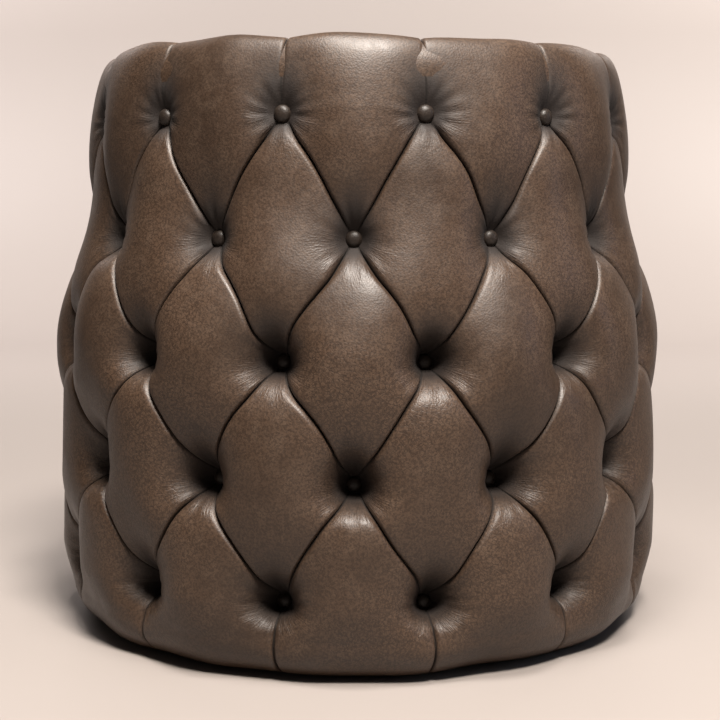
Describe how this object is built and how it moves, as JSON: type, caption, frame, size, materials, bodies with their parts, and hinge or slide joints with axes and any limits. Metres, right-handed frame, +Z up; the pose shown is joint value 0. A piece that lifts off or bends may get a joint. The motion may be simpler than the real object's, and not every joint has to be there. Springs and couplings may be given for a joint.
{
  "type": "storage ottoman",
  "caption": "Round deep-buttoned leather ottoman with a lift-off padded lid over a storage well.",
  "frame": {"origin": "on the floor, under the middle of the drum", "axes": "+Z up, front of the ottoman faces -Y, +X to the right of someone looking at the front"},
  "size_m": [0.5, 0.5, 0.4659],
  "materials": {
    "leather": "antiqued, semi-gloss, fine grain",
    "dark_leather": "antiqued, semi-gloss",
    "foam": "matt open-cell",
    "plywood": "sanded, unfinished",
    "softwood": "planed, unfinished",
    "fibreboard": "matt",
    "lining": "matt woven",
    "black_cloth": "matt non-woven",
    "black_plastic": "satin moulded"
  },
  "bodies": {
    "case": {"base_board": "plywood", "top_ring": "plywood", "outer_skin": "fibreboard", "post_1": "softwood", "post_2": "softwood", "post_3": "softwood", "post_4": "softwood", "post_5": "softwood", "post_6": "softwood", "post_7": "softwood", "post_8": "softwood", "inner_liner": "lining", "floor_lining": "lining", "dust_cover": "black_cloth", "glide_1": "black_plastic", "glide_2": "black_plastic", "glide_3": "black_plastic", "glide_4": "black_plastic", "wall_foam": "foam", "rim_foam": "foam", "wall_cover": "leather", "button_row_1": "dark_leather", "button_row_2": "dark_leather", "button_row_3": "dark_leather", "button_row_4": "dark_leather", "button_row_5": "dark_leather"},
    "lid": {"lid_board": "plywood", "lid_locator": "plywood", "lid_lining": "lining", "lid_foam": "foam", "lid_cover": "leather", "lid_welt": "dark_leather", "lid_button_centre": "dark_leather", "lid_button_1": "dark_leather", "lid_button_2": "dark_leather", "lid_button_3": "dark_leather", "lid_button_4": "dark_leather", "lid_button_5": "dark_leather", "lid_button_6": "dark_leather", "pull_tab": "dark_leather"}
  },
  "joints": [
    {"name": "lid_lift", "type": "slide", "parent": "case", "child": "lid", "axis": [0, 0, 1], "range_m": [0, 0.3]}
  ]
}
